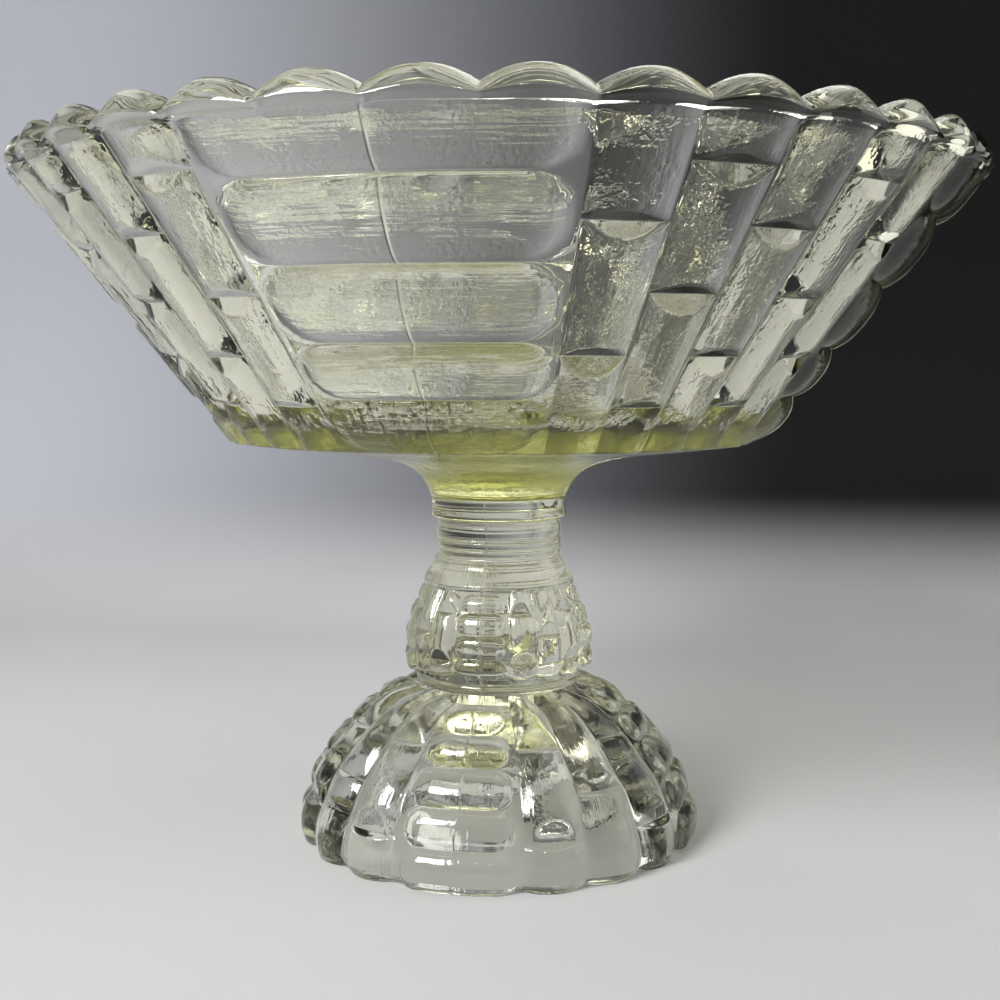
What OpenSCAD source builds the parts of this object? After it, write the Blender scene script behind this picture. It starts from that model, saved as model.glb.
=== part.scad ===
// Pressed glass compote: a scalloped bowl on a collar, a ringed stem, a ring and a domed foot.
// +Z is up and the foot rests on z = 0. A panel of logs is centred on -Y.
// Angles run from -Y towards +X.

/* [Bowl] */
// Widest diameter of the bowl, across the lobes of its lip
bowl_d = 243; // [215:1:270]
// Height of the bowl, from its seat on the collar to the crests of its rim
bowl_h = 85.8; // [78:0.2:96]
// Diameter of the bowl's lower corner
corner_d = 140; // [120:1:160]
// Height of the lower corner above the bowl's seat
corner_rise = 15.2; // [12:0.2:19]
// Thickness of the wall, from the inside to the crests of its pattern
wall_t = 5.6; // [4.4:0.1:8]
// Thickness of the glass between the lower corner and the inside floor
floor_t = 6; // [4:0.5:9]
// Height of the smooth lip, from the pattern to the crests of the rim
lip_h = 7; // [5:0.2:9]
// Height of one scallop of the rim
scallop_h = 3.1; // [1:0.1:4]
// Depth of the pattern on the bowl
bowl_relief = 2.4; // [1:0.1:3]

/* [Collar] */
// Diameter of the collar under the bowl
collar_d = 35.8; // [33:0.2:40]
// Height of the collar under the bowl
collar_h = 5.6; // [4:0.1:8]
// Radius of the collar's lower edge
collar_edge_r = 1.4; // [0.5:0.1:1.8]

/* [Stem] */
// Height of the stem, from the ring on the foot to the collar
stem_h = 41; // [36:0.5:48]
// Diameter of the neck, across its rings
neck_d = 33.2; // [29:0.2:35]
// Height of one ring of the neck
neck_ring_h = 4.4; // [3:0.1:5]
// How far a ring of the neck stands out
neck_ring_out = 0.5; // [0.2:0.1:1]
// Height of the patterned part of the knop
knop_h = 23.4; // [20:0.2:26]
// Widest diameter of the knop
knop_d = 50.4; // [46:0.2:56]
// Diameter of the knop where its pattern starts
knop_top_d = 40; // [38:0.2:44]
// Depth of the pattern on the knop
knop_relief = 1.3; // [0.5:0.1:1.8]

/* [Foot] */
// Diameter of the ring between the stem and the foot
ring_d = 44; // [41:0.2:46]
// Height of the ring between the stem and the foot
ring_h = 3; // [2:0.1:5]
// Widest diameter of the foot
foot_d = 107.4; // [95:0.2:125]
// Height of the foot
foot_h = 40; // [34:0.5:46]
// Thickness of the foot's shell, measured level
foot_wall_t = 7.4; // [6:0.2:10]
// Thickness of the glass over the hollow of the foot
foot_top_t = 9; // [7:0.5:12]
// Depth of the pattern on the foot
foot_relief = 2.2; // [1:0.1:2.8]

/* [Pattern] */
// Panels of logs round each patterned piece
panel_n = 3; // [2:1:4]
// Columns of bricks between two panels of the bowl
bowl_columns = 8; // [6:2:10]
// Columns of bricks between two panels of the knop and of the foot
foot_columns = 5; // [3:2:7]
// Length of the slope on either side of a joint of the bowl's bricks
joint_slope = 3.8; // [3:0.1:5]
// Flat margin between the ends of the bowl's logs and their panel's edge
log_margin = 1.8; // [1:0.1:3]

/* [Hidden] */
glass_tint = [0.87, 0.9, 0.72];
$fn = 96;

// Length by which one solid runs past another that it cuts or joins
overrun = 1;
// Rounding error allowed for where a place falls on the edge of a column
slack = 1e-9;
// Width of a panel of logs, in columns of the same piece
bowl_panel = 4;
foot_panel = 2;
// Points across one column, and where the points across a panel lie
bowl_cuts = 4;
foot_cuts = 3;
bowl_panel_shares = [0, 1/32, 1/16, 1/8, 3/16, 1/4, 5/16, 3/8, 7/16,
    1/2, 9/16, 5/8, 11/16, 3/4, 13/16, 7/8, 15/16, 31/32];
foot_panel_shares = [0, 1/12, 1/4, 1/2, 3/4, 11/12];

// Height of each piece's seat
ring_z = foot_h;
stem_z = ring_z + ring_h;
collar_z = stem_z + stem_h;
bowl_z = collar_z + collar_h;

// Lower edge of each log up the bowl's wall, and its joints in turn, column by column
bowl_log_shares = [0, 0.158, 0.342, 0.577, 0.817, 1.03];
bowl_joint_shares = [[0.302, 0.694], [0.131, 0.495, 0.856]];
// Upper edge of each log down the foot, and its joints
foot_log_shares = [0.03, 0.252, 0.424, 0.623, 0.8, 1.03];
foot_joint_shares = [[0.327, 0.772], [0.568]];
// Upper edge of each log down the knop, and its joints
knop_log_shares = [0, 0.19, 0.42, 0.66, 0.9];
knop_joint_shares = [[0.21, 0.7], [0.43]];
// Slopes above and below a joint of the knop and the foot, next to the bowl's
slope_above_share = 1.4;
slope_below_share = 0.5;
// How blunt a log's section is: 2 is half round, more is flatter
log_bluntness = 2.5;

// Lip of the bowl, from the pattern over the rim to the inside: how far in from the
// widest radius in wall thicknesses, how high in lip heights, and how deep its lobes are
lip_in_shares = [0, 0.05, 0.42, 0.8, 1.1];
lip_up_shares = [0.5, 0.78, 1, 0.92, 0.6];
lip_lobe_shares = [1, 1, 0.7, 0.3, 0];
// Widest radius of the pattern under the lip, as a share of the lip's own
under_lip_share = 0.99;
// Underside of the bowl, from its seat to its lower corner: out and up
under_out_shares = [0.02, 0.058, 0.115, 0.209, 0.325, 0.5, 0.77, 0.94];
under_up_shares = [0.16, 0.36, 0.515, 0.636, 0.715, 0.79, 0.885, 0.955];
// Length of the bend between the inside wall and the floor of the bowl, in floor thicknesses
floor_bend_share = 0.9;

// Knop, from the top of its pattern down: widths between the top and the widest, and drops
knop_points_out = [0, 0.42, 0.75, 0.95, 1, 0.9];
knop_points_down = [0, 0.18, 0.36, 0.53, 0.76, 0.93];
// Width of the knop's lower edge, as a share of the widest
knop_base_share = 0.86;
// Shoulder between the knop and the neck: out from the waist, and up
shoulder_out_shares = [1, 0.91, 0.29, 0];
shoulder_up_shares = [0, 0.22, 0.76, 1];
// Foot, from its shoulder to its base: radius and height
foot_out_shares = [0.41, 0.54, 0.645, 0.725, 0.81, 0.9, 0.95, 0.99, 1, 0.98];
foot_up_shares = [1, 0.96, 0.87, 0.775, 0.65, 0.5, 0.35, 0.22, 0.1, 0];
// Where rings of points cross each log, from edge to edge
log_cut_shares = [0.15, 0.5, 0.85];
// Least distance between two rings of points on the bowl, the knop and the foot
bowl_ring_gap = 1.5;
knop_ring_gap = 1;
foot_ring_gap = 2;
// Even rings down the knop and the foot, beside those on logs and joints
knop_steps = 6;
foot_steps = 8;
// Which points of the wall's rings go on under the bowl and inside it, every so many
under_thinning = 3;
inside_thinning = 2;
// Steps up the hollow of the foot, and points round it
hollow_steps = 9;
hollow_points = 72;

// Numbers of a list in rising order
function sorted(v) = len(v) < 2 ? v : concat(
    sorted([for (x = v) if (x < v[0]) x]),
    [v[0]],
    sorted([for (x = v) if (x > v[0]) x]));

// Rising numbers, less those closer than gap to the one before or to a fixed one
function spaced(v, fixed, gap, last = -1, i = 0) =
    i == len(v) ? [] :
    v[i] - last < gap || min([for (f = fixed) abs(v[i] - f)]) < gap
        ? spaced(v, fixed, gap, last, i + 1)
        : concat([v[i]], spaced(v, fixed, gap, v[i], i + 1));

// Running totals of a list, from zero
function totals(v) = [for (i = 0, t = 0; i <= len(v); t = t + (i < len(v) ? v[i] : 0), i = i + 1) t];

// Point at a share of the way along a smooth curve through points
function along(p, share) =
    let (
        c = totals([for (i = [1 : len(p) - 1]) norm(p[i] - p[i - 1])]),
        d = share * c[len(c) - 1],
        i = max([0, for (k = [0 : len(p) - 2]) if (c[k] < d) k]),
        t = (d - c[i]) / (c[i + 1] - c[i]),
        a = p[max(i - 1, 0)],
        b = p[i],
        e = p[i + 1],
        f = p[min(i + 2, len(p) - 1)])
    b + t * ((e - a) / 2 + t * ((2 * a - 5 * b + 4 * e - f) / 2 + t * (3 * (b - e) + f - a) / 2));

// Length of a curve through points, and its outward direction at a share, going downwards
function length(p) = let (c = totals([for (i = [1 : len(p) - 1]) norm(p[i] - p[i - 1])])) c[len(c) - 1];
function outward(p, share, step = 0.01) =
    let (d = along(p, min(share + step, 1)) - along(p, max(share - step, 0)))
    [-d.y, d.x] / norm(d);

// Angle of one column
function column_angle(columns, panel) = 360 / panel_n / (columns + panel);

// Angles of the points round a patterned piece
function stations(columns, panel, cuts, panel_shares) =
    let (w = column_angle(columns, panel))
    [for (g = [0 : panel_n - 1])
        let (start = g * 360 / panel_n - w * panel / 2)
        each concat(
            [for (s = panel_shares) start + s * w * panel],
            [for (k = [0 : columns - 1], c = [0 : cuts - 1]) start + w * (panel + k + c / cuts)])];

// Place of an angle in the pattern, in columns from the near edge of its panel
function place(angle, columns, panel) =
    let (t = angle / column_angle(columns, panel) + panel / 2, all = columns + panel)
    t - all * floor(t / all + slack);

// Place across a column or a scallop, from -1 to 1
function across(t) = 2 * (t - floor(t + slack)) - 1;

// Height of a brick: a rounded rib, cut down to the groove by two slopes at each joint
function brick(u, share, joints, run, depth, before, after) =
    min(concat(
        [(1 - u * u) * depth],
        [for (j = joints) depth * max((j - share) * run / before, (share - j) * run / after)]));

// Height of a log: half round, with round ends. The last one runs on past the pattern.
function log_bar(x, half, share, logs, run, depth, margin) =
    let (
        i = max([0, for (k = [0 : len(logs) - 2]) if (logs[k] <= share) k]),
        half_h = (logs[i + 1] - logs[i]) / 2 * run,
        v = (share - (logs[i] + logs[i + 1]) / 2) * run / half_h,
        rise = logs[i + 1] > 1 ? min(v, 0) : v,
        over = max(0, abs(x) - (half - margin - half_h)) / half_h)
    depth * max(0, 1 - pow(norm([rise, over]), log_bluntness));

// Height of the pattern at an angle and a share of the way from the narrow end to the wide end
function pattern(angle, share, radius, columns, panel, logs, joints, run, depth, before, after, margin) =
    let (
        t = place(angle, columns, panel),
        arc = radius * column_angle(columns, panel) * PI / 180)
    t < panel
        ? log_bar((t - panel / 2) * arc, panel / 2 * arc, share, logs, run, depth, margin)
        : brick(across(t), share, joints[floor(t - panel + slack) % 2], run, depth, before, after);

// Shares at which rings of points lie: on every edge, beside every joint and over every log
function ring_shares(logs, joints, before, after, gap, even = 0) =
    let (
        on_wall = [for (s = logs) if (s > 0 && s < 1) s],
        all_joints = [for (j = joints) each j],
        edges = sorted(concat([0, 1], on_wall, all_joints)),
        helpers = sorted(concat(
            [for (j = all_joints) each [j - before, j + after]],
            [for (i = [0 : len(logs) - 2], s = log_cut_shares) logs[i] * (1 - s) + logs[i + 1] * s],
            even > 0 ? [for (i = [1 : even - 1]) i / even] : [])))
    sorted(concat(edges, spaced([for (s = helpers) if (s < 1) s], edges, gap)));

// Point at a radius, an angle and a height
function at(r, angle, z) = [r * sin(angle), -r * cos(angle), z];

// Every m-th point round a ring
function thinned(v, m) = [for (i = [0 : m : len(v) - 1]) v[i]];

// Triangles between two rings whose counts divide each other. A ring may be one point.
function band(a, na, b, nb) =
    na >= nb
    ? [for (j = [0 : nb - 1]) let (m = na / nb) each concat(
        [for (i = [m * j : m * j + m - 1]) [a + (i + 1) % na, a + i, b + j]],
        nb > 1 ? [[b + (j + 1) % nb, a + m * (j + 1) % na, b + j]] : [])]
    : [for (j = [0 : na - 1]) let (m = nb / na) each concat(
        [for (i = [m * j : m * j + m - 1]) [b + (i + 1) % nb, a + j, b + i]],
        na > 1 ? [[a + (j + 1) % na, a + j, b + m * (j + 1) % nb]] : [])];

// Rings of points on the knop or the foot, from its lower end up. The end rings lie level.
function pressed_rings(outline, logs, joints, depth, gap, steps) =
    let (
        run = length(outline),
        angles = stations(foot_columns, foot_panel, foot_cuts, foot_panel_shares),
        scale_share = depth / bowl_relief,
        above = joint_slope * scale_share * slope_above_share,
        below = joint_slope * scale_share * slope_below_share,
        margin = log_margin * scale_share,
        shares = ring_shares(logs, joints, above / run, below / run, gap / run, steps))
    [for (k = [len(shares) - 1 : -1 : 0])
        let (s = shares[k], p = along(outline, s), n = outward(outline, s), level = s == 0 || s == 1)
        [for (a = angles)
            let (d = depth - pattern(a, s, p.x, foot_columns, foot_panel, logs, joints, run, depth,
                above, below, margin))
            at(p.x - n.x * d, a, level ? p.y : p.y - n.y * d)]];

// Solid through rings of points, from its lowest middle point out, round and back to the middle
module skin(rings) {
    n = [for (r = rings) len(r)];
    first = totals(n);
    polyhedron(
        points = [for (r = rings) each r],
        faces = [for (i = [0 : len(rings) - 2]) each band(first[i], n[i], first[i + 1], n[i + 1])],
        convexity = 10);
}

module bowl() {
    corner_r = corner_d / 2;
    lip_r = bowl_d / 2;
    under_lip_r = lip_r * under_lip_share;
    seat_r = collar_d / 2;
    corner_z = bowl_z + corner_rise;
    rim_z = bowl_z + bowl_h;
    lip_z = rim_z - lip_h;
    slant = norm([under_lip_r - corner_r, lip_z - corner_z]);
    lean = (lip_z - corner_z) / slant;
    tilt = (under_lip_r - corner_r) / slant;
    floor_z = corner_z + floor_t;
    level_t = wall_t / lean;
    floor_r = corner_r + (under_lip_r - corner_r) * floor_t / (lip_z - corner_z) - level_t;
    bend = floor_t * floor_bend_share;
    bend_top = [floor_r + bend * tilt, floor_z + bend * lean];
    bend_middle = (bend_top + 2 * [floor_r, floor_z] + [floor_r - bend, floor_z]) / 4;
    angles = stations(bowl_columns, bowl_panel, bowl_cuts, bowl_panel_shares);
    under_angles = thinned(angles, under_thinning);
    inside_angles = thinned(angles, inside_thinning);
    shares = ring_shares(bowl_log_shares, bowl_joint_shares, joint_slope / slant, joint_slope / slant,
        bowl_ring_gap / slant);
    seat = [for (a = under_angles) at(seat_r, a, bowl_z)];
    under = [for (i = [0 : len(under_out_shares) - 1]) [
        for (a = under_angles) at(
            seat_r + (corner_r - bowl_relief - seat_r) * under_out_shares[i],
            a,
            bowl_z + corner_rise * under_up_shares[i])]];
    // The pattern is sunk square to the wall, and the wall's two end rings lie level
    wall = [for (s = shares)
        let (r = corner_r + (under_lip_r - corner_r) * s, z = corner_z + (lip_z - corner_z) * s)
        [for (a = angles)
            let (d = bowl_relief - pattern(a, s, r, bowl_columns, bowl_panel, bowl_log_shares,
                bowl_joint_shares, slant, bowl_relief, joint_slope, joint_slope, log_margin))
            s == 0 || s == 1 ? at(r - d / lean, a, z) : at(r - d * lean, a, z + d * tilt)]];
    lip = [for (i = [0 : len(lip_in_shares) - 1]) [
        for (a = angles)
            let (u = across(place(a, bowl_columns, bowl_panel)))
            at(
                lip_r - lip_in_shares[i] * wall_t - u * u * bowl_relief * lip_lobe_shares[i],
                a,
                lip_z + (lip_h - scallop_h * u * u) * lip_up_shares[i])]];
    inside = [
        [for (a = inside_angles) at(under_lip_r - level_t, a, lip_z)],
        [for (a = inside_angles) at(bend_top.x, a, bend_top.y)],
        [for (a = inside_angles) at(bend_middle.x, a, bend_middle.y)],
        [for (a = inside_angles) at(floor_r - bend, a, floor_z)]];
    color(glass_tint)
        skin(concat([[[0, 0, bowl_z]], seat], under, wall, lip, inside, [[[0, 0, floor_z]]]));
}

// Plain band under the bowl, with a rounded lower edge
module bowl_collar() {
    color(glass_tint) translate([0, 0, collar_z]) rotate_extrude() union() {
        square([collar_d / 2 - collar_edge_r, collar_h]);
        translate([0, collar_edge_r]) square([collar_d / 2, collar_h - collar_edge_r]);
        intersection() {
            translate([collar_d / 2 - collar_edge_r, collar_edge_r]) circle(collar_edge_r);
            square([collar_d, collar_h]);
        }
    }
}

// Outline of the knop, from the top of its pattern down to the ring
knop_points = concat(
    [for (i = [0 : len(knop_points_out) - 1]) [
        knop_top_d / 2 + (knop_d - knop_top_d) / 2 * knop_points_out[i],
        stem_z + knop_h * (1 - knop_points_down[i])]],
    [[knop_d / 2 * knop_base_share, stem_z]]);

module knop() {
    rings = pressed_rings(knop_points, knop_log_shares, knop_joint_shares, knop_relief,
        knop_ring_gap, knop_steps);
    skin(concat([[[0, 0, stem_z]]], rings, [[[0, 0, stem_z + knop_h]]]));
}

// Shoulder that rises from the knop over two soft edges, then two rings and a plain top
module neck() {
    neck_r = neck_d / 2;
    waist_r = neck_r - neck_ring_out;
    knop_top_z = stem_z + knop_h;
    neck_z = collar_z - 2 * neck_ring_h - overrun;
    ring_r = (neck_ring_h * neck_ring_h / 4 + neck_ring_out * neck_ring_out) / (2 * neck_ring_out);
    shoulder = [for (i = [0 : len(shoulder_out_shares) - 1]) [
        waist_r + (knop_top_d / 2 - waist_r) * shoulder_out_shares[i],
        knop_top_z + (neck_z - knop_top_z) * shoulder_up_shares[i]]];
    rotate_extrude() polygon(concat(
        [[0, knop_top_z - overrun], [waist_r, knop_top_z - overrun], [waist_r, knop_top_z]],
        shoulder,
        [[0, neck_z]]));
    translate([0, 0, neck_z]) cylinder(h = collar_z - neck_z, r = waist_r);
    for (i = [0, 1]) translate([0, 0, neck_z + (i + 1 / 2) * neck_ring_h]) rotate_extrude()
        intersection() {
            translate([neck_r - ring_r, 0]) circle(ring_r);
            translate([0, -neck_ring_h / 2]) square([neck_d, neck_ring_h]);
        }
}

module stem() {
    color(glass_tint) union() {
        knop();
        neck();
    }
}

// Rounded ring between the stem and the foot
module foot_collar() {
    color(glass_tint) translate([0, 0, ring_z]) rotate_extrude() union() {
        square([ring_d / 2 - ring_h / 2, ring_h]);
        intersection() {
            translate([ring_d / 2 - ring_h / 2, ring_h / 2]) circle(ring_h / 2);
            square([ring_d, ring_h]);
        }
    }
}

// Outline of the foot, from its shoulder down to its base
foot_points = [for (i = [0 : len(foot_out_shares) - 1])
    [foot_d / 2 * foot_out_shares[i], foot_h * foot_up_shares[i]]];

// Hollow of the foot: a quarter ellipse turned round the axis
module hollow() {
    mouth_r = foot_points[len(foot_points) - 1].x - foot_wall_t;
    quarter = [for (i = [0 : hollow_steps]) let (w = 90 * i / hollow_steps)
        [mouth_r * cos(w), (foot_h - foot_top_t) * sin(w)]];
    rotate_extrude($fn = hollow_points) polygon(concat([[0, -overrun], [mouth_r, -overrun]], quarter));
}

module foot() {
    rings = pressed_rings(foot_points, foot_log_shares, foot_joint_shares, foot_relief,
        foot_ring_gap, foot_steps);
    color(glass_tint) difference() {
        skin(concat([[[0, 0, 0]]], rings, [[[0, 0, foot_h]]]));
        hollow();
    }
}

bowl();
bowl_collar();
stem();
foot_collar();
foot();
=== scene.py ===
import math

import bpy
import numpy as np
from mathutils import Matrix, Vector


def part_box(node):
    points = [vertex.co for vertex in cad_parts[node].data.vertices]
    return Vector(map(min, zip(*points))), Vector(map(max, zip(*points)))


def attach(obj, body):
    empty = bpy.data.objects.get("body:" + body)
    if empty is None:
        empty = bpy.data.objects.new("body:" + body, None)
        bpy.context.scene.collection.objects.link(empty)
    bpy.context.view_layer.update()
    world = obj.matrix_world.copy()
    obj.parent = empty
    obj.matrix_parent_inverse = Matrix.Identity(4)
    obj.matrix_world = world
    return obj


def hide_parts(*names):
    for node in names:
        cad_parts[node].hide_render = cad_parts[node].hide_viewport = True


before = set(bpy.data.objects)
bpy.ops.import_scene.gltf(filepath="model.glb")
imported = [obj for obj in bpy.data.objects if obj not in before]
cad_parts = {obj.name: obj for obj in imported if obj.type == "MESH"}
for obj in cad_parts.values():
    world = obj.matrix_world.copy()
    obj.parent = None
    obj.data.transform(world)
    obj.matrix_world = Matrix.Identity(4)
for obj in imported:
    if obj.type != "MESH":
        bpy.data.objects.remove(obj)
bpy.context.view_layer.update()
print("frame loaded:", sorted(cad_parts))

mm = 0.001


# Lowest and highest corner of a CAD node, in millimetres.
def cadSize(node):
    lo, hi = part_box(node)
    return np.array(lo) / mm, np.array(hi) / mm


# What a user would change is in one dictionary for each piece, in millimetres and degrees.
# The pattern goes round every piece: a panel of logs, some columns of bricks, and again.
patternLook = {
    "panels": 4,
    "brickWidth": 0.96,  # half width of a brick, as a share of half its column
    "jointRound": 0.06,  # rounding where a joint cuts a brick, as a share of the brick's depth
    "logPower": 2.5,  # of the curve across a log, where 2 is a parabola
    "logEdge": 0.25,  # steep step round each log
    "logEdgeRun": 0.25,  # how far inwards that step rises
    "logGap": 0.1,  # what a log gives up along each side, and a share of its depth more
    "logGapShare": 0.02,
    "lastLog": 0.6,  # how fast the last log falls beyond its middle, as a share of the others
    "seamHeight": 0.3,  # raised mould seam down the middle of each panel
    "seamWidth": 0.24,  # half its width, where a piece is widest
    "joinGap": 0.02,  # between two pieces that are joined hot, so that light crosses their ends in turn
}


# Numbers that keep rising by at least the gap, with the fixed ones always kept.
def spacedValues(fixed, extra, gap):
    kept = sorted(set(round(float(v), 6) for v in fixed))
    for v in extra:
        if min(abs(v - k) for k in kept) >= gap:
            kept.append(round(float(v), 6))
    return np.array(sorted(kept))


# The smaller of two heights with the corner between them rounded: the mean less half the
# square root of the squared difference plus the squared rounding.
def softMin(a, b, rounding):
    return 0.5 * (a + b - np.sqrt((a - b) ** 2 + rounding ** 2))


# A smooth curve through a few points (Catmull-Rom), resampled evenly along its length.
def smoothCurve(points, count=400):
    p = np.asarray(points, float)
    ends = np.vstack([p[0], p, p[-1]])
    t = np.linspace(0, 1, 24, endpoint=False)[:, None]
    parts = []
    for a, b, c, d in zip(ends[:-3], ends[1:-2], ends[2:-1], ends[3:]):
        bend = (2 * a - 5 * b + 4 * c - d) / 2
        twist = (3 * (b - c) + d - a) / 2
        parts.append(b + t * ((c - a) / 2 + t * (bend + t * twist)))
    line = np.vstack(parts + [p[-1:]])
    length = np.concatenate([[0], np.cumsum(np.hypot(*np.diff(line, axis=0).T))])
    even = np.linspace(0, length[-1], count)
    return np.column_stack([np.interp(even, length, line[:, k]) for k in (0, 1)]), length[-1]


# Points and outward directions at shares of the way down a curve. The direction is the
# tangent turned a quarter, so it points away from the axis.
def curveAt(points, shares):
    line, length = smoothCurve(points)
    where = np.linspace(0, 1, len(line))
    tangent = np.gradient(line, axis=0)
    tangent /= np.hypot(tangent[:, 0], tangent[:, 1])[:, None]
    at = np.column_stack([np.interp(shares, where, line[:, k]) for k in (0, 1)])
    out = np.column_stack([np.interp(shares, where, -tangent[:, 1]), np.interp(shares, where, tangent[:, 0])])
    return at, out / np.hypot(out[:, 0], out[:, 1])[:, None], length


# Place of each angle in the pattern, counted in columns from the near edge of its panel, and
# the angle that a column takes.
def placeInPattern(angle, look):
    group = look["panel"] + look["columns"]
    width = 360 / patternLook["panels"] / group
    return np.mod(angle / width + look["panel"] / 2, group), width


# A brick is a rounded rib, one less the square of the place across, cut down to the groove
# by a slope below and a slope above each joint.
def brickHeight(u, share, joints, run, look):
    depth = look["relief"]
    h = depth * np.clip(1 - (u / patternLook["brickWidth"]) ** 2, 0, None)
    for j in joints:
        below, above = (j - share) * run / look["slope"], (share - j) * run / look["lipSlope"]
        h = softMin(h, depth * np.where(share < j, below, above), patternLook["jointRound"] * depth)
    return np.clip(h, 0, None)


# A log is half round with round ends, one less a power of the way out from its middle, and
# has a small steep edge. The last one runs on past the pattern.
def logHeight(x, half, share, run, look):
    h = np.zeros(np.broadcast(x, share).shape)
    depth, step, gap = look["relief"], patternLook["logEdge"], patternLook["logGap"]
    for lower, upper in zip(look["logs"][:-1], look["logs"][1:]):
        halfHeight = (upper - lower) / 2 * run - patternLook["logGapShare"] * depth * (upper < 1) - gap
        v = (share - (lower + upper) / 2) * run / halfHeight
        if upper > 1:
            v = np.where(v > 0, v * patternLook["lastLog"], v)
        over = np.clip(np.abs(x) - (half - look["margin"] - halfHeight), 0, None) / halfHeight
        out = np.hypot(v, over)
        edge = step * (1 - np.exp(-np.clip(1 - out, 0, None) * halfHeight / patternLook["logEdgeRun"]))
        h = np.maximum(h, (depth - step) * np.clip(1 - out ** patternLook["logPower"], 0, None) + edge)
    return h


# Height of the pattern over its groove on a grid of angles and shares. The columns of bricks
# take the two lists of joints in turn.
def patternHeight(angle, share, radius, look, run):
    t, width = placeInPattern(angle, look)
    panel, columns = look["panel"], look["columns"]
    arc = np.radians(width) * radius
    logs = logHeight((t - panel / 2) * arc, panel / 2 * arc, share, run, look)
    u = 2 * np.mod(t, 1) - 1
    group = np.floor((angle / width + panel / 2) / (columns + panel))
    column = np.floor(t - panel) + look["carryOn"] * columns * group
    bricks = [brickHeight(u, share, joints, run, look) for joints in look["joints"]]
    brick = np.where(np.mod(column, len(bricks)) == 0, bricks[0], bricks[-1])
    return np.where(t < panel, logs, brick)


# Half the width of a mould seam as an angle, on a piece of one radius.
def seamAngle(radius):
    return math.degrees(patternLook["seamWidth"] / radius)


# Height of the mould seams: a narrow bell over the middle of each panel.
def seamHeight(angle, radius, scale=1.0):
    sector = 360 / patternLook["panels"]
    away = np.abs(np.mod(angle + sector / 2, sector) - sector / 2)
    return patternLook["seamHeight"] * scale * np.exp(-((away / seamAngle(radius)) ** 2))


# Places of points across a brick, from -1 to 1, across a plain band, beside the seam in widths
# of it, and beside the edges of each column in a panel, in columns.
acrossBrick = [-1, -0.97, -0.9, -0.78, -0.62, -0.43, -0.22, 0, 0.22, 0.43, 0.62, 0.78, 0.9, 0.97]
acrossBand = [-1, -0.6, -0.2, 0.2, 0.6]
besideSeam = [-2.4, -1.4, -0.7, 0.7, 1.4, 2.4]
besideColumn = [0, 0.03, 0.08, 0.92, 0.97]


# Angles of the points round a piece: close together beside grooves, log ends and the seam.
def anglesRound(look, across, radius):
    panel, step = look["panel"], look["panelStep"]
    width = placeInPattern(0, look)[1]
    cuts = (np.array(across) + 1) / 2
    seam = np.array(besideSeam) * seamAngle(radius) / width + panel / 2
    lobes = [k + d for k in range(panel) for d in besideColumn]
    inPanel = spacedValues(lobes + list(seam) + [panel / 2], np.arange(0, panel, step), step * 0.4)
    inPanel = inPanel[inPanel < panel - 1e-6]
    oneGroup = np.concatenate([inPanel] + [panel + k + cuts for k in range(look["columns"])])
    starts = 360 / patternLook["panels"] * np.arange(patternLook["panels"])[:, None]
    return (starts + (oneGroup - panel / 2) * width).ravel()


# Shares of the way along the pattern where a piece has rows of points: at log ends and joints,
# close beside them, down the slopes of the joints, and at even steps in between.
def rowShares(look, run):
    joints = [j for js in look["joints"] for j in js]
    edges = [0, 1] + [s for s in look["logs"] if s < 1] + joints
    near = [e + d / run for e in edges for d in look["besideEdge"]]
    near += [j + d / run for j in joints for d in look["besideJoint"]]
    near = [s for s in near if 0 < s < 1]
    return spacedValues(edges + near, np.arange(0, 1, look["rowStep"] / run), look["rowGap"] / run)


# Slow unevenness of hand-finished glass: three crossed waves round and up the piece.
def unevenness(angle, height, amount):
    a = np.radians(angle)
    waves = np.sin(5 * a + height / 9) + np.sin(11 * a - height / 6 + 1.3)
    return amount / 3 * (waves + np.sin(3 * a + height / 4 + 0.5))


# Fine folds that the mould leaves: waves that cross the piece, whose place drifts along it.
def folds(across, along, amount):
    drift = np.sin(along / 7.3 + across / 31) + 0.6 * np.sin(along / 3.1 - across / 17 + 2)
    waves = np.sin(across / 0.62 + 1.9 * drift) + 0.7 * np.sin(across / 1.07 - 1.3 * drift + 1)
    return amount * waves * (0.6 + 0.4 * np.sin(across / 9 + along / 11))


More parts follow.
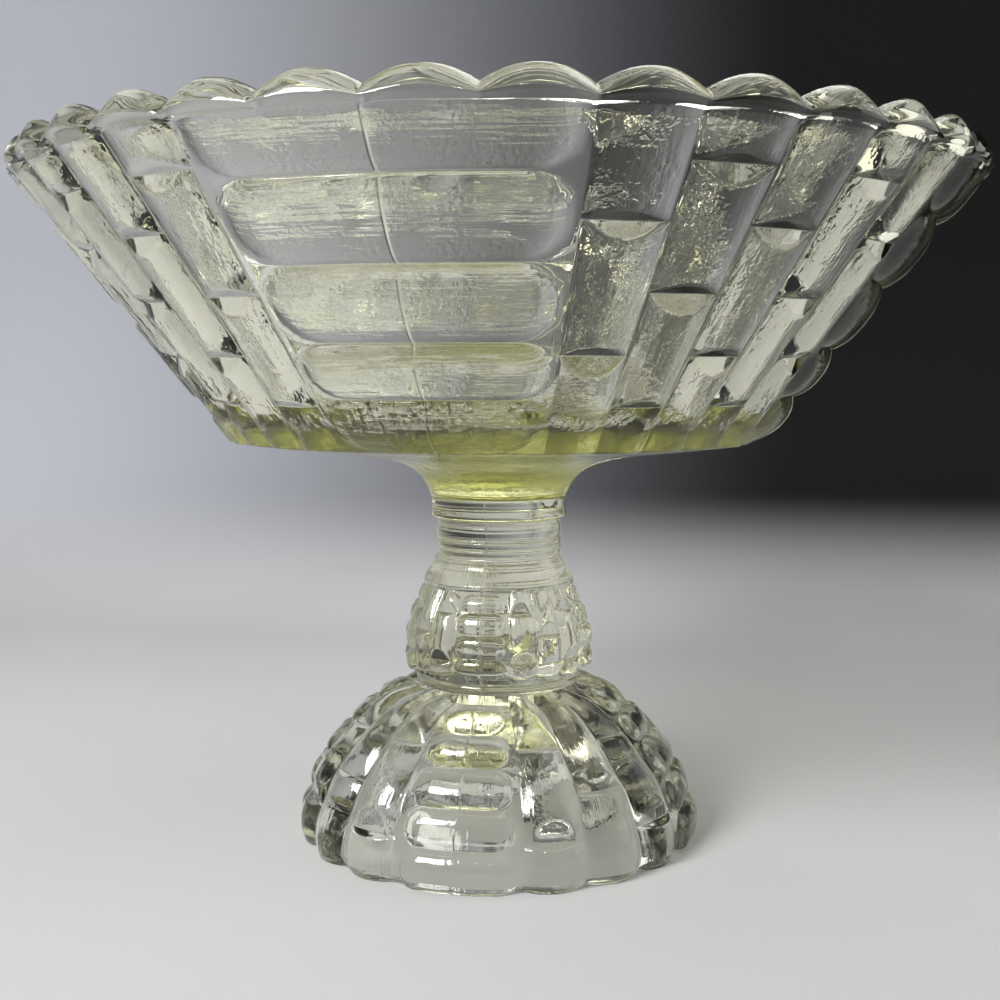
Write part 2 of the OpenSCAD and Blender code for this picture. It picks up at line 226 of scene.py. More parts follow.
# Turns a grid of radii and heights into a closed mesh. Each row is a ring, the first and the
# last row close on the axis, and a point is radius times sine and minus cosine of its angle.
# Ends that are joined to another piece are marked in an attribute and drawn back by a hair.
def ringMesh(name, angles, radius, height, grain, streak, joinedEnds):
    rows, count = radius.shape
    a = np.radians(angles)[None, :]
    height = height.copy()
    height[0] += patternLook["joinGap"] * ("first" in joinedEnds)
    height[-1] -= patternLook["joinGap"] * ("last" in joinedEnds)
    grid = np.stack([radius * np.sin(a), -radius * np.cos(a), height + 0 * a], axis=2).reshape(-1, 3)
    poles = np.array([[0, 0, height[0].mean()], [0, 0, height[-1].mean()]])
    points = np.vstack([grid, poles]) * mm
    j = np.arange(count)
    k = (j + 1) % count
    base = (np.arange(rows - 1) * count)[:, None]
    quads = np.stack([base + j, base + k, base + count + k, base + count + j], axis=2).reshape(-1, 4)
    top = (rows - 1) * count
    first = np.stack([np.full(count, rows * count), k, j], axis=1)
    last = np.stack([np.full(count, rows * count + 1), top + j, top + k], axis=1)
    corners = np.concatenate([quads.ravel(), first.ravel(), last.ravel()])
    sizes = np.concatenate([np.full(len(quads), 4), np.full(2 * count, 3)])
    mesh = bpy.data.meshes.new(name)
    mesh.vertices.add(len(points))
    mesh.vertices.foreach_set("co", points.ravel())
    mesh.loops.add(len(corners))
    mesh.loops.foreach_set("vertex_index", corners)
    mesh.polygons.add(len(sizes))
    mesh.polygons.foreach_set("loop_start", np.concatenate([[0], np.cumsum(sizes)[:-1]]))
    mesh.update(calc_edges=True)
    joined = np.zeros(len(sizes), np.float32)
    joined[len(quads):len(quads) + count] = "first" in joinedEnds
    joined[len(quads) + count:] = "last" in joinedEnds
    mesh.attributes.new("joined", "FLOAT", "FACE").data.foreach_set("value", joined)

    # UV map: turns round the piece and metres along it.
    around = np.tile(angles / 360, rows)
    step = np.hypot(np.diff(radius.mean(1)), np.diff(height.mean(1)))
    along = np.repeat(np.concatenate([[0], np.cumsum(step)]), count) * mm
    u = np.append(around, [0, 0])[corners]
    v = np.append(along, [0, along[-1]])[corners]
    wrapQuads = np.zeros((len(quads), 4), bool)
    wrapQuads[(count - 1)::count, 1:3] = True
    u[:len(quads) * 4][wrapQuads.ravel()] += 1
    layer = mesh.uv_layers.new(name="surface")
    layer.data.foreach_set("uv", np.column_stack([u, v]).ravel().astype(np.float32))
    for label, values in (("grain", grain), ("streak", streak)):
        mask = mesh.attributes.new(label, "FLOAT", "POINT")
        mask.data.foreach_set("value", np.append(values.ravel(), [0, 0]).astype(np.float32))
    mesh.shade_smooth()
    piece = bpy.data.objects.new(name, mesh)
    bpy.context.scene.collection.objects.link(piece)
    return piece


bowlLook = {
    "columns": 5,  # of bricks, between two panels of logs
    "panel": 4,  # width of a panel of logs, in columns
    "relief": 2.4,  # depth of the pattern
    "slope": 3.8,  # length of the slope below a joint
    "lipSlope": 3.9,  # length of the slope above it
    "margin": 1.8,  # between the ends of the logs and the bricks
    "carryOn": True,  # the joints keep their turn from one group of bricks to the next
    "logs": [0, 0.158, 0.342, 0.577, 0.817, 1.03],  # ends of the logs, as shares of the wall
    "joints": [[0.302, 0.694], [0.131, 0.495, 0.856]],  # of the two kinds of column
    "cornerRadius": 70,
    "cornerRise": 15.2,
    "seatRadius": 17.9,
    "wall": 5.6,
    "floor": 6,
    "fillet": 4.2,
    "filletOut": 0.8,  # how far out and up the bend between wall and floor goes
    "filletUp": 1.0,
    "floorRings": (0.75, 0.5, 0.25, 0.06),  # of points on the floor, as shares of its radius
    "underOut": [0, 0.02, 0.058, 0.115, 0.209, 0.325, 0.5, 0.77, 0.94],  # underside, from the seat out
    "underUp": [0, 0.16, 0.36, 0.515, 0.636, 0.715, 0.79, 0.885, 0.955],
    "underLip": 0.99,  # radius of the wall's top, as a share of the lip's
    "lipHeight": 7,
    "lipInset": 0.16,
    "scallop": 3.1,
    "lipIn": [0.95, 0.4, 0.08, 0.5, 1.35, 2.15, 2.9, 3.55, 4.3, 5.05, 5.55, 5.75, 5.95],  # from its edge
    "lipUp": [0.2, 0.9, 2, 3.4, 5, 6.2, 6.85, 6.99, 6.7, 5.85, 4.5, 2.9, 1.2],
    "panelLobe": (0.3, 1.1),  # hollows between scallops over a panel, at the lip's foot and top
    "brickLobe": (1.3, 2.1),  # and over the bricks
    "hollowShares": (0.3, 0.4),  # of the round and of the sharp part of a hollow
    "baseGrain": 1.0,  # grain of the thick base, over and under
    "logGrain": 0.1,
    "brickGrain": (0.08, 0.92),  # everywhere on a brick, and on its uncut round
    "uncut": 0.12,  # depth of a cut that ends the grain, as a share of the relief
    "uneven": 0.1,
    "logFolds": 0.022,
    "brickFolds": 0.03,
    "seamOver": 0.25,  # what a seam may stand over the pattern
    "seamUnder": 1.2,  # height of the seam under the bowl, as a share of the others
    "seamEnd": (0.985, 0.015),  # where the seam starts to fade under the lip, and over how much
    "squareRate": 25,  # how fast a cut turns from level to square, from either end of the wall
    "panelStep": 0.1,  # steps between points across a panel, in columns
    "rowStep": 1.1,  # steps between rows of points, and the least between any two
    "rowGap": 0.4,
    "besideEdge": (-0.5, -0.2, 0.2, 0.5),
    "besideJoint": (-4, -3.3, -2.6, -1.9, -1.2, 1.2, 1.9, 2.6, 3.3, 4),
    "flareRows": 15,
    "lipRows": 30,
    "insideRows": 8,
    "filletRows": 7,
}


def makeBowl():
    look = bowlLook
    lo, hi = cadSize("bowl")
    seatZ, rimZ = lo[2], hi[2]
    panel, relief = look["panel"], look["relief"]
    halfColumn = placeInPattern(0, look)[1] / 2
    lipR = hi[0] / math.cos(math.radians(halfColumn)) - look["lipInset"]
    underR = lipR * look["underLip"]
    cornerZ, lipZ = seatZ + look["cornerRise"], rimZ - look["lipHeight"]
    slant = math.hypot(underR - look["cornerRadius"], lipZ - cornerZ)
    lean = (lipZ - cornerZ) / slant
    angles = anglesRound(look, acrossBrick, lipR)
    a = angles[None, :]
    shares = rowShares(look, slant)
    s = shares[:, None]

    # Underside: a flare from the seat to the lower corner.
    flare, _ = smoothCurve(np.column_stack([look["underOut"], look["underUp"]]), look["flareRows"])
    flareOut, flareUp = flare[:, :1], flare[:, 1:]
    innerCorner = look["cornerRadius"] - relief
    flareR = look["seatRadius"] + (innerCorner - look["seatRadius"]) * flareOut
    seam = seamHeight(a, lipR, look["seamUnder"]) * (flareUp > 0.1)
    under = (flareR + 0 * a, seatZ + look["cornerRise"] * flareUp - seam)

    # Wall: the cone from the corner to the lip, less what the pattern leaves. It is cut square
    # to the wall, except that a cut turns level towards both ends.
    coneR = look["cornerRadius"] + (underR - look["cornerRadius"]) * s
    h = patternHeight(a, s, coneR, look, slant)
    t = placeInPattern(a, look)[0]
    isPanel = t < panel
    arc = np.radians(a) * coneR
    logFold, brickFold = folds(s * slant, arc, look["logFolds"]), folds(arc, s * slant, look["brickFolds"])
    fold = np.where(isPanel, logFold, brickFold)
    raised = np.clip(h / relief * 3 - 1, 0, 1)
    seamStart, seamFade = look["seamEnd"]
    underTop = 1 - np.clip((s - seamStart) / seamFade, 0, 1)
    h = h + seamHeight(a, lipR) * underTop + (unevenness(a, s * slant, look["uneven"]) + fold) * raised
    h = np.minimum(h, relief + look["seamOver"])
    cut = relief - h
    square = np.clip(np.minimum(s, 1 - s) * look["squareRate"], 0, 1)
    wallR = coneR - cut * (square * lean + (1 - square) / lean)
    wallZ = cornerZ + (lipZ - cornerZ) * s + square * cut * (underR - look["cornerRadius"]) / slant

    # Lip: up a leaning face, over a round top and down the inside. Its height falls with the
    # square of the place across each scallop. Its face is hollow between scallops, by one less
    # a cosine for the round part and a fourth power for the sharp part. The hollows are deep
    # over bricks and shallow in a panel.
    u = 2 * np.mod(t, 1) - 1
    lobe = 1 - u ** 2
    fromEdge = np.clip(np.minimum(t, panel - t), 0, 1)
    deep = np.where(isPanel, 1 - fromEdge, 1) ** 2
    hollow = look["hollowShares"][0] * (1 - np.cos(math.pi * u)) + look["hollowShares"][1] * u ** 4
    lipLine, _ = smoothCurve(np.column_stack([look["lipIn"], look["lipUp"]]), look["lipRows"])
    lipIn, lipUp = lipLine[:, :1], lipLine[:, 1:]
    foot, head = [(1 - deep) * p + deep * b for p, b in zip(look["panelLobe"], look["brickLobe"])]
    outer = (np.arange(look["lipRows"]) < np.argmax(lipUp))[:, None]
    share = lipUp / look["lipHeight"]
    lipDrop = (foot + (head - foot) * share ** 2) * np.where(outer, 1, np.clip(4 * share - 3, 0, 1))
    rise = (look["lipHeight"] - look["scallop"] * (1 - lobe)) / look["lipHeight"]
    lip = (lipR - lipIn - lipDrop * hollow, lipZ + lipUp * rise)

    # Inside: a plain cone, a fillet and a flat floor.
    levelT = look["wall"] / lean
    fillet = look["fillet"]
    floorZ = cornerZ + look["floor"]
    spread = (underR - look["cornerRadius"]) * look["floor"] / (lipZ - cornerZ)
    floorR = look["cornerRadius"] + spread - levelT
    above = [floorR + fillet / lean * look["filletOut"], floorZ + fillet]
    corner = [above, [floorR, floorZ + look["filletUp"]], [floorR - fillet, floorZ]]
    bend, _ = smoothCurve(corner, look["filletRows"])
    coneInR = np.linspace(underR - levelT, bend[0, 0], look["insideRows"])[:-1]
    coneInZ = np.linspace(lipZ, bend[0, 1], look["insideRows"])[:-1]
    flat = np.array(look["floorRings"]) * (floorR - fillet)
    insideR = np.concatenate([coneInR, bend[:, 0], flat])[:, None] + 0 * a
    insideZ = np.concatenate([coneInZ, bend[:, 1], np.full(len(flat), floorZ)])[:, None] + 0 * a
    radius = np.vstack([under[0], wallR, lip[0], insideR])
    height = np.vstack([under[1], wallZ, lip[1], insideZ])

    # Grain: on the base, and on bricks where their full round is left. Streaks: on the logs.
    grain = np.zeros(radius.shape)
    streak = np.zeros(radius.shape)
    grain[2:len(flare)] = look["baseGrain"]
    grain[-len(bend) - len(flat):] = look["baseGrain"]
    rib = relief * np.clip(lobe, 0, None)
    uncut = np.clip(1 - (rib - h) / (look["uncut"] * relief), 0, 1) * np.clip((rib / relief - 0.15) * 5, 0, 1)
    onLog = np.clip(h / relief * 3 - 0.6, 0, 1)
    wallRows = slice(len(flare), len(flare) + len(shares))
    everywhere, onRound = look["brickGrain"]
    grain[wallRows] = np.where(isPanel, look["logGrain"] * onLog, everywhere + onRound * uncut)
    streak[wallRows] = np.where(isPanel, onLog, 0.0)
    return ringMesh("glass_bowl", angles, radius, height, grain, streak, ["first"])


bandLook = {
    "columns": 3,
    "panel": 2,
    "panelStep": 0.14,
}


# Solid of revolution with the mould seams, through a profile of radii and heights. Both of its
# ends are joined to other pieces, and the seams stop at them.
def makeBand(name, profile):
    widest = profile[:, 0].max()
    angles = anglesRound(bandLook, acrossBand, widest)
    a = angles[None, :]
    seam = seamHeight(a, widest) * np.ones((len(profile), 1))
    seam[[0, -1]] = 0
    radius = profile[:, :1] + seam
    height = profile[:, 1:] + 0 * a
    blank = np.zeros(radius.shape)
    return ringMesh(name, angles, radius, height, blank, blank, ["first", "last"])


collarLook = {
    "edge": 1.4,  # radius of the lower edge
    "edgeRows": 7,
    "waist": 0.25,  # depth of the hollow in its side
    "sideRows": 6,
}


# Collar: a quarter circle at the lower edge, then a side that is hollow by half a sine.
def makeCollar():
    lo, hi = cadSize("bowl_collar")
    r, e, rows = hi[0], collarLook["edge"], collarLook["sideRows"]
    turn = np.radians(np.linspace(-90, 0, collarLook["edgeRows"]))
    edge = np.column_stack([r - e + e * np.cos(turn), lo[2] + e + e * np.sin(turn)])
    sideR = r - collarLook["waist"] * np.sin(np.linspace(0, math.pi, rows)[1:])
    side = np.column_stack([sideR, np.linspace(lo[2] + e, hi[2], rows)[1:]])
    return makeBand("glass_collar", np.vstack([edge, side]))


ringLook = {"rows": 15}


# Ring: a half circle from its bottom to its top, as thick as the CAD node is high.
def makeRing():
    lo, hi = cadSize("foot_collar")
    half = (hi[2] - lo[2]) / 2
    turn = np.radians(np.linspace(-90, 90, ringLook["rows"]))
    profile = np.column_stack([hi[0] - half + half * np.cos(turn), (lo[2] + hi[2]) / 2 + half * np.sin(turn)])
    return makeBand("glass_ring", profile)


stemLook = {
    "columns": 3,
    "panel": 2,
    "relief": 1.3,
    "slope": 3.1,
    "lipSlope": 1.1,
    "margin": 1.0,
    "carryOn": False,
    "logs": [0, 0.19, 0.42, 0.66, 0.9],
    "joints": [[0.21, 0.7], [0.43]],
    "knopRadius": 25.2,
    "knopHeight": 23.4,
    "knopTop": 20,  # radius at its top
    "knopOut": [0, 0.42, 0.75, 0.95, 1, 0.9],
    "knopDown": [0, 0.18, 0.36, 0.53, 0.76, 0.93],
    "base": 0.86,  # radius at its bottom, as a share of the knop's
    "seatRadius": 20.5,
    # Radius and height over the knop.
    "shoulder": [[19.95, 0.5], [19.75, 1.6], [19.0, 2.7], [17.6, 5.0], [17.2, 6.1], [16.5, 7.1]],
    "waistRise": 8.1,  # height of the waist over the knop
    "neckRadius": 16.6,
    "neckRingOut": 0.5,
    # Bottom and top below the collar, and how proud each stands.
    "neckRings": [[8.9, 7.2, 0.5], [7.0, 5.0, 0.48], [4.2, 1.2, 0.45]],
    "ringPower": 0.7,  # below 1 makes a ring squarer than half a sine
    "joinRadius": 16.5,
    "joinDrop": 0.5,
    "uneven": 0.05,
    "knopSeam": 1.2,  # height of the seams, as a share of the bowl's
    "neckSeam": 1.6,
    "seamOver": 0.3,
    "grain": 0.15,
    "panelStep": 0.055,
    "rowStep": 0.4,
    "rowGap": 0.2,
    "besideEdge": (-0.3, -0.14, 0.14, 0.3),
    "besideJoint": (),
    "shoulderRows": 26,
    "ringRows": 12,
    "fade": 0.06,  # share of the knop, at its bottom, over which the pattern fades out
}


def makeStem():
    look = stemLook
    lo, hi = cadSize("stem")
    knopR, neckR = look["knopRadius"], look["neckRadius"]
    outline = [[look["knopTop"] + (knopR - look["knopTop"]) * o, lo[2] + look["knopHeight"] * (1 - d)]
               for o, d in zip(look["knopOut"], look["knopDown"])] + [[knopR * look["base"], lo[2]]]
    run = curveAt(outline, np.array([0.0]))[2]
    angles = anglesRound(look, acrossBrick, neckR)
    a = angles[None, :]
    shares = rowShares(look, run)
    at, out, _ = curveAt(outline, shares)
    s = shares[:, None]

    # Knop: its outline less what the pattern leaves, which fades out at the bottom.
    h = patternHeight(a, s, at[:, :1], look, run) + seamHeight(a, neckR, look["knopSeam"])
    h = h + unevenness(a, s * run * 3, look["uneven"])
    fade = np.clip((1 - s) / look["fade"], 0, 1)
    drop = (look["relief"] - np.minimum(h, look["relief"] + look["seamOver"])) * fade
    knopOutR = (at[:, :1] - out[:, :1] * drop)[::-1]
    knopOutZ = (at[:, 1:] - out[:, 1:] * drop)[::-1]

    # Neck: a plain slope from the knop to the waist, low rings, each a power of half a sine,
    # and a plain top.
    waist = neckR - look["neckRingOut"]
    knopTopZ = lo[2] + look["knopHeight"]
    shoulder = np.array(look["shoulder"] + [[waist, look["waistRise"]]]) + [0, knopTopZ]
    slopeLine, _ = smoothCurve(shoulder, look["shoulderRows"])
    rings = []
    turn = np.linspace(0, 1, look["ringRows"])[1:]
    for low, high, proud in look["neckRings"]:
        ringR = waist + proud * np.sin(math.pi * turn) ** look["ringPower"]
        rings.append(np.column_stack([ringR, hi[2] - low + (low - high) * turn]))
    top = [[waist, hi[2] - look["joinDrop"]], [look["joinRadius"], hi[2]]]
    neck = np.vstack([slopeLine] + rings + [top])
    neckOut = neck[:, :1] + seamHeight(a, neckR, look["neckSeam"])
    neckOut[-1] = look["joinRadius"]
    bottom = np.full((1, len(angles)), look["seatRadius"])
    radius = np.vstack([bottom, knopOutR, neckOut])
    height = np.vstack([np.full_like(bottom, lo[2]), knopOutZ, neck[:, 1:] + 0 * a])
    blank = np.zeros(radius.shape)
    return ringMesh("glass_stem", angles, radius, height, blank + look["grain"], blank, ["first", "last"])


footLook = {
    "columns": 3,
    "panel": 2,
    "relief": 2.2,
    "slope": 5.2,
    "lipSlope": 1.8,
    "margin": 1.8,
    "carryOn": False,
    "logs": [0.03, 0.252, 0.424, 0.623, 0.8, 1.03],
    "joints": [[0.327, 0.772], [0.568]],
    "radius": 53.7,
    "wall": 7.4,
    "topThick": 9,
    "seat": 20.5,
    "out": [0.41, 0.54, 0.645, 0.725, 0.81, 0.9, 0.95, 0.99, 1, 0.98],  # outline, from its top down
    "up": [1, 0.96, 0.87, 0.775, 0.65, 0.5, 0.35, 0.22, 0.1, 0],
    "uneven": 0.08,
    "seamRadius": 0.7,  # where the seam has its width, as a share of the radius
    "grain": 0.25,
    "panelStep": 0.055,
    "rowStep": 0.7,
    "rowGap": 0.35,
    "besideEdge": (-0.5, -0.2, 0.2, 0.5),
    "besideJoint": (),
    "hollowRows": 30,
}


def makeFoot():
    look = footLook
    lo, hi = cadSize("foot")
    outline = [[look["radius"] * o, hi[2] * u] for o, u in zip(look["out"], look["up"])]
    run = curveAt(outline, np.array([0.0]))[2]
    angles = anglesRound(look, acrossBrick, look["radius"])
    a = angles[None, :]
    shares = rowShares(look, run)
    at, out, _ = curveAt(outline, shares)
    s = shares[:, None]

    # Dome: its outline less what the pattern leaves, kept between the floor and the seat.
    h = patternHeight(a, s, at[:, :1], look, run) + seamHeight(a, look["radius"] * look["seamRadius"])
    h = h + unevenness(a, s * run * 2, look["uneven"])
    drop = look["relief"] - np.minimum(h, look["relief"])
    outR = (at[:, :1] - out[:, :1] * drop)[::-1]
    outZ = np.clip(at[:, 1:] - out[:, 1:] * drop, 0, hi[2] - patternLook["joinGap"])[::-1]
    seatR = np.full((1, len(angles)), look["seat"])
    seatZ = np.full_like(seatR, hi[2])

    # Hollow: a quarter ellipse turned round the axis.
    baseR = look["radius"] * look["out"][-1] - look["wall"]
    turn = np.radians(np.linspace(88, 0, look["hollowRows"]))[:, None]
    hollowR = baseR * np.cos(turn) + 0 * a
    hollowZ = (hi[2] - look["topThick"]) * np.sin(turn) + 0 * a
    radius = np.vstack([hollowR, outR, seatR])
    height = np.vstack([hollowZ, outZ, seatZ])
    grain = np.zeros(radius.shape)
    grain[len(hollowR):] = look["grain"]
    return ringMesh("glass_foot", angles, radius, height, grain, grain * 0, ["last"])


patchLook = {"size": 130, "limits": (0.4, 0.62), "least": 0.3}  # patches where the grain is strong

# Layers of the grain: what it follows, stretch, size, detail and weight. Place is in metres;
# Surface is turns round the piece and metres along it.
grainLayers = {
    "Grain": [
        ("Place", (1, 1, 1), 1000, 1, 0.6),
        ("Place", (1, 1, 1), 480, 2, 1.8),
        ("Surface", (0.6, 0.12, 0), 420, 2, 2.8)],
    "Streak": [
        ("Surface", (0.035, 1, 0), 1300, 3, 0.8),
        ("Surface", (0.05, 1, 0), 420, 2, 2.8),
        ("Place", (1, 1, 1), 900, 1, 0.7)],
}

glassLook = {
    "tint": {"bowl": (0.985, 0.985, 0.945, 1), "others": (0.985, 0.985, 0.965, 1)},
    "ior": 1.5,
    "depthColour": (0.925, 0.935, 0.07, 1),  # what thick glass turns to
    "depthDensity": {"bowl": 15.0, "bowl_collar": 5.5, "stem": 4.0, "foot_collar": 4.0, "foot": 5.0},
    "shadow": 0.88,  # how dark its shadow is, from none to full
    "grainDepth": 0.00019,  # in metres
    "smooth": 0.012,  # roughness of plain glass
    "frost": 0.07,  # roughness that full grain adds
}


# Node group: what the mould leaves. Bricks get fine dimples over broad ones, logs get fine
# streaks over broad ones, and both are a little rougher where they are grained.
def grainGroup():
    group = bpy.data.node_groups.new("mouldGrain", "ShaderNodeTree")
    inputs = {"Grain": 0.0, "Streak": 0.0, "Smooth": glassLook["smooth"], "Frost": glassLook["frost"]}
    for name, value in inputs.items():
        group.interface.new_socket(name, in_out="INPUT", socket_type="NodeSocketFloat").default_value = value
    group.interface.new_socket("Place", in_out="INPUT", socket_type="NodeSocketVector")
    group.interface.new_socket("Surface", in_out="INPUT", socket_type="NodeSocketVector")
    for name in ("Height", "Roughness"):
        group.interface.new_socket(name, in_out="OUTPUT", socket_type="NodeSocketFloat")
    nodes, links = group.nodes, group.links
    start, end = nodes.new("NodeGroupInput"), nodes.new("NodeGroupOutput")

    def combine(operation, first, second):
        node = nodes.new("ShaderNodeMath")
        node.operation = operation
        for socket, value in zip(node.inputs, (first, second)):
            if isinstance(value, (int, float)):
                socket.default_value = value
            else:
                links.new(value, socket)
        return node.outputs[0]

    spread = nodes.new("ShaderNodeTexNoise")
    spread.inputs["Scale"].default_value = patchLook["size"]
    spread.inputs["Detail"].default_value = 2
    links.new(start.outputs["Place"], spread.inputs["Vector"])
    patch = nodes.new("ShaderNodeMapRange")
    patch.interpolation_type = "SMOOTHSTEP"
    patch.inputs["From Min"].default_value, patch.inputs["From Max"].default_value = patchLook["limits"]
    patch.inputs["To Min"].default_value = patchLook["least"]
    links.new(spread.outputs["Fac"], patch.inputs["Value"])
    heights = {}
    for mask, layers in grainLayers.items():
        total = 0.0
        for source, stretch, scale, detail, weight in layers:
            turned = nodes.new("ShaderNodeMapping")
            turned.inputs["Scale"].default_value = [scale * k for k in stretch]
            links.new(start.outputs[source], turned.inputs["Vector"])
            noise = nodes.new("ShaderNodeTexNoise")
            noise.inputs["Scale"].default_value = 1
            noise.inputs["Detail"].default_value = detail
            noise.inputs["Roughness"].default_value = 0.6
            links.new(turned.outputs["Vector"], noise.inputs["Vector"])
            centred = combine("SUBTRACT", noise.outputs["Fac"], 0.5)
            total = combine("ADD", combine("MULTIPLY", centred, weight), total)
        masked = combine("MULTIPLY", total, start.outputs[mask])
        heights[mask] = combine("MULTIPLY", masked, patch.outputs["Result"])
    links.new(combine("ADD", heights["Grain"], heights["Streak"]), end.inputs["Height"])
    both = combine("ADD", start.outputs["Grain"], start.outputs["Streak"])
    frost = combine("MULTIPLY", both, start.outputs["Frost"])
    links.new(combine("ADD", frost, start.outputs["Smooth"]), end.inputs["Roughness"])
    return group


# Clear glass whose depth colour shows where it is thick. Its shadow is pale, and the ends
# where two pieces are joined hot can't be seen.
def glassMaterial(name, grain, node):
    material = bpy.data.materials.new(name)
    material.use_nodes = True
    nodes, links = material.node_tree.nodes, material.node_tree.links
    shader = nodes["Principled BSDF"]
    shader.inputs["Base Color"].default_value = glassLook["tint"].get(node, glassLook["tint"]["others"])
    shader.inputs["Transmission Weight"].default_value = 1
    shader.inputs["IOR"].default_value = glassLook["ior"]
    masks = {}
    for label in ("grain", "streak", "joined"):
        mask = nodes.new("ShaderNodeAttribute")
        mask.attribute_name = label
        masks[label] = mask.outputs["Fac"]
    path = nodes.new("ShaderNodeLightPath")
    pale = nodes.new("ShaderNodeMath")
    pale.operation = "MULTIPLY_ADD"
    pale.inputs[1].default_value = glassLook["shadow"] - 1
    pale.inputs[2].default_value = 1
    links.new(path.outputs["Is Shadow Ray"], pale.inputs[0])
    shown = nodes.new("ShaderNodeMath")
    shown.operation = "SUBTRACT"
    shown.use_clamp = True
    links.new(pale.outputs[0], shown.inputs[0])
    links.new(masks["joined"], shown.inputs[1])
    links.new(shown.outputs[0], shader.inputs["Alpha"])
    place = nodes.new("ShaderNodeTexCoord")
    look = nodes.new("ShaderNodeGroup")
    look.node_tree = grain
    links.new(place.outputs["Object"], look.inputs["Place"])
    links.new(place.outputs["UV"], look.inputs["Surface"])
    links.new(masks["grain"], look.inputs["Grain"])
    links.new(masks["streak"], look.inputs["Streak"])
    bump = nodes.new("ShaderNodeBump")
    bump.inputs["Distance"].default_value = glassLook["grainDepth"]
    links.new(look.outputs["Height"], bump.inputs["Height"])
    links.new(look.outputs["Roughness"], shader.inputs["Roughness"])
    links.new(bump.outputs["Normal"], shader.inputs["Normal"])
    depth = nodes.new("ShaderNodeVolumeAbsorption")
    depth.inputs["Color"].default_value = glassLook["depthColour"]
    depth.inputs["Density"].default_value = glassLook["depthDensity"][node]
    links.new(depth.outputs["Volume"], nodes["Material Output"].inputs["Volume"])
    return material


stageLook = {
    "floorColour": (0.47, 0.47, 0.475, 1),
    # Painted light and shade on the backdrop: pale and bluish to the left as if lit from there, nearly black
    # to the right as if in shade.
    "paintedLightLeft": (0.495, 0.51, 0.555, 1),
    "paintedShadeRight": (0.012, 0.012, 0.0125, 1),
    "roughness": 0.7,
    "across": (-0.45, 0.09),  # places between which the backdrop turns from painted light to painted shade
    "fade": (0.002, 0.06),  # heights between which floor colour gives way to the backdrop's painted light and shade
    "width": 2.4,
    "front": -1.3,
    "wall": 0.43,
    "wallHeight": 0.62,
    "bend": 0.2,
    "skyLeft": (0.3, 0.3, 0.305, 1),
    "skyRight": (0.06, 0.06, 0.062, 1),
    "skyAcross": (-0.9, 0.2),
    "skyHigh": (0.45, 0.45, 0.454, 1),
    "skyRise": (0.3, 0.85),  # sines of the heights between which the sky turns pale
}


# Nodes that mix two colours as one part of a place goes between two values.
def rampBetween(tree, place, part, limits, first, second):
    nodes, links = tree.nodes, tree.links
    split, ramp = nodes.new("ShaderNodeSeparateXYZ"), nodes.new("ShaderNodeMapRange")
    mix = nodes.new("ShaderNodeMix")
    links.new(place, split.inputs[0])
    links.new(split.outputs[part], ramp.inputs["Value"])
    ramp.interpolation_type = "SMOOTHSTEP"
    ramp.inputs["From Min"].default_value, ramp.inputs["From Max"].default_value = limits
    mix.data_type = "RGBA"
    for name, value in (("A", first), ("B", second)):
        if isinstance(value, tuple):
            mix.inputs[name].default_value = value
        else:
            links.new(value, mix.inputs[name])
    links.new(ramp.outputs["Result"], mix.inputs["Factor"])
    return mix.outputs["Result"]


# Floor and backdrop in one sheet: level, a quarter turn, then upright. The backdrop's colour is
# painted light and shade: pale and bluish to the left, nearly black to the right. The world round
# it turns darker to the right and pale overhead.
def makeStage():
    look = stageLook
    turn = np.radians(np.linspace(0, 90, 17))
    bend = look["bend"]
    depth = np.concatenate([[look["front"]], look["wall"] - bend + bend * np.sin(turn), [look["wall"]]])
    rise = np.concatenate([[0], bend * (1 - np.cos(turn)), [look["wallHeight"]]])
    points = [(x, y, z) for x in (-look["width"] / 2, look["width"] / 2) for y, z in zip(depth, rise)]
    n = len(depth)
    faces = [(k, n + k, n + k + 1, k + 1) for k in range(n - 1)]
    mesh = bpy.data.meshes.new("sweep")
    mesh.from_pydata(points, [], faces)
    mesh.shade_smooth()
    floor = bpy.data.objects.new("sweep", mesh)
    bpy.context.scene.collection.objects.link(floor)
    material = bpy.data.materials.new("paperSweep")
    material.use_nodes = True
    tree = material.node_tree
    shader = tree.nodes["Principled BSDF"]
    shader.inputs["Roughness"].default_value = look["roughness"]
    shader.inputs["Specular IOR Level"].default_value = 0
    place = tree.nodes.new("ShaderNodeTexCoord").outputs["Object"]
    # Painted light and shade: the backdrop's colour runs from pale bluish at the left to nearly black at the
    # right.
    backdrop = rampBetween(tree, place, "X", look["across"], look["paintedLightLeft"], look["paintedShadeRight"])
    paper = rampBetween(tree, place, "Z", look["fade"], look["floorColour"], backdrop)
    tree.links.new(paper, shader.inputs["Base Color"])
    mesh.materials.append(material)
    world = bpy.data.worlds.new("studio")
    world.use_nodes = True
    tree = world.node_tree
    place = tree.nodes.new("ShaderNodeTexCoord").outputs["Generated"]
    low = rampBetween(tree, place, "X", look["skyAcross"], look["skyLeft"], look["skyRight"])
    sky = rampBetween(tree, place, "Z", look["skyRise"], low, look["skyHigh"])
    tree.links.new(sky, tree.nodes["Background"].inputs["Color"])
    bpy.context.scene.world = world


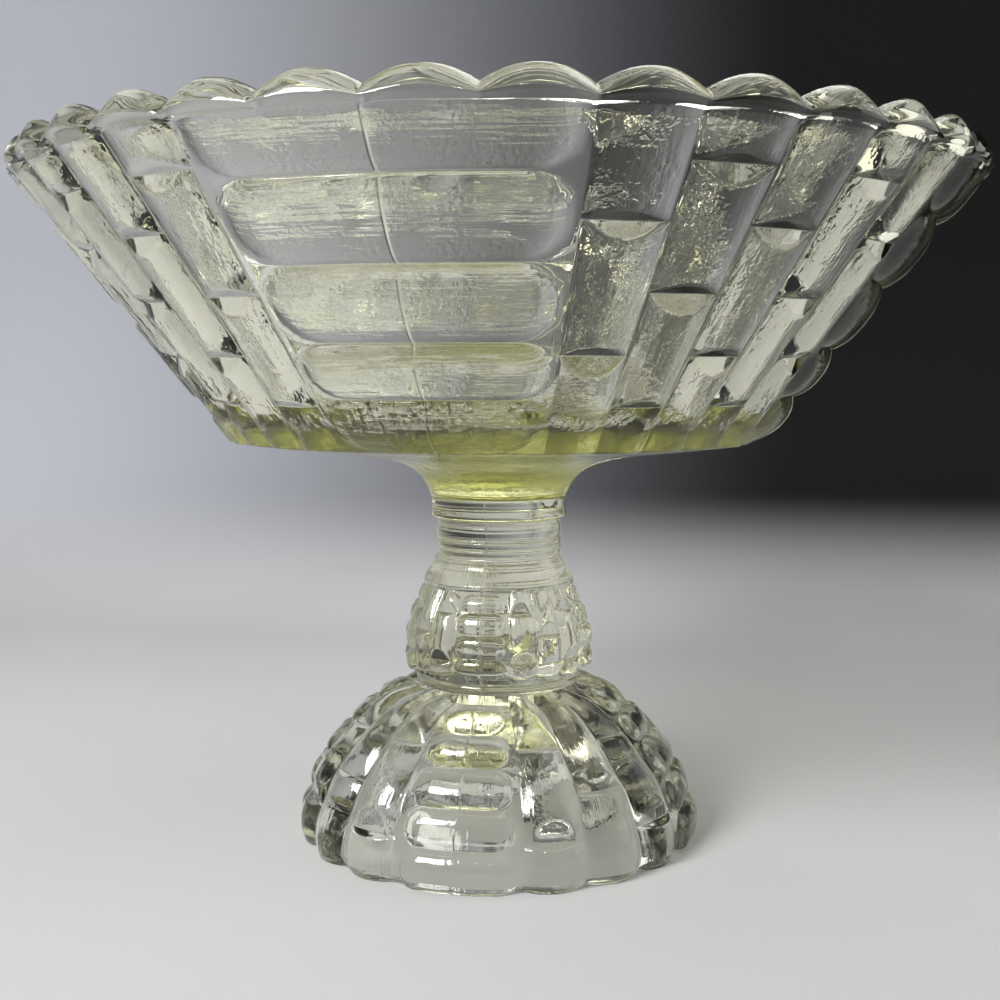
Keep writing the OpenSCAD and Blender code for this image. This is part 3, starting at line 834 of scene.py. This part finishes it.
# Places and sizes in metres, the spread in degrees.
lampLook = {
    "keyLeft": {
        "place": (-0.42, -0.68, 0.62), "aim": (0, 0, 0.08), "size": (0.38, 0.42),
        "watts": 5.7, "spread": 120},
    "smallRight": {
        "place": (0.16, -0.78, 0.72), "aim": (0, 0, 0.06), "size": (0.05, 0.05),
        "watts": 0.6, "spread": 180},
    "rearTop": {
        "place": (0.15, 0.3, 0.85), "aim": (0, 0, 0.12), "size": (0.6, 0.4),
        "watts": 1.9, "spread": 180},
    "rearRight": {
        "place": (0.62, 0.2, 0.3), "aim": (0, 0, 0.13), "size": (0.5, 0.5),
        "watts": 0.85, "spread": 180},
}


# Soft square lamps, each turned from its place towards its aim.
def makeLamps():
    for name, look in lampLook.items():
        light = bpy.data.lights.new(name, "AREA")
        light.shape = "RECTANGLE"
        light.size, light.size_y = look["size"]
        light.energy = look["watts"]
        light.spread = math.radians(look["spread"])
        lamp = bpy.data.objects.new(name, light)
        lamp.location = look["place"]
        lamp.visible_camera = False
        towards = np.array(look["aim"]) - np.array(look["place"])
        flat = math.hypot(towards[0], towards[1])
        lamp.rotation_euler = (math.atan2(flat, -towards[2]), 0, math.atan2(-towards[0], towards[1]))
        bpy.context.scene.collection.objects.link(lamp)


cameraLook = {
    "azimuth": 11.57,  # degrees from -Y towards +X
    "distance": 0.350,
    "height": 0.1218,
    "down": 5.47,
    "lens": 47.39,
    "sensor": 36,
    "shift": 0.0016,
}


def makeCamera():
    look = cameraLook
    lens = bpy.data.cameras.new("photoView")
    lens.lens = look["lens"]
    lens.sensor_width = look["sensor"]
    lens.shift_x = look["shift"]
    camera = bpy.data.objects.new("photoView", lens)
    around = math.radians(look["azimuth"])
    away = look["distance"]
    camera.location = (away * math.sin(around), -away * math.cos(around), look["height"])
    camera.rotation_euler = (math.radians(90 - look["down"]), 0, around)
    bpy.context.scene.collection.objects.link(camera)
    bpy.context.scene.camera = camera


makeCamera()
makeStage()
makeLamps()
bpy.context.scene.view_settings.view_transform = "Standard"
print("stage, lamps and camera made")

grain = grainGroup()
for make, node, slotName in (
        (makeBowl, "bowl", "bowl_glass"),
        (makeCollar, "bowl_collar", "collar_glass"),
        (makeStem, "stem", "stem_glass"),
        (makeRing, "foot_collar", "ring_glass"),
        (makeFoot, "foot", "foot_glass")):
    piece = make()
    piece.data.materials.append(glassMaterial(node + "Glass", grain, node))
    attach(piece, "root")
    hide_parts(node)
    print(piece.name, len(piece.data.polygons), "faces")

bpy.context.view_layer.update()
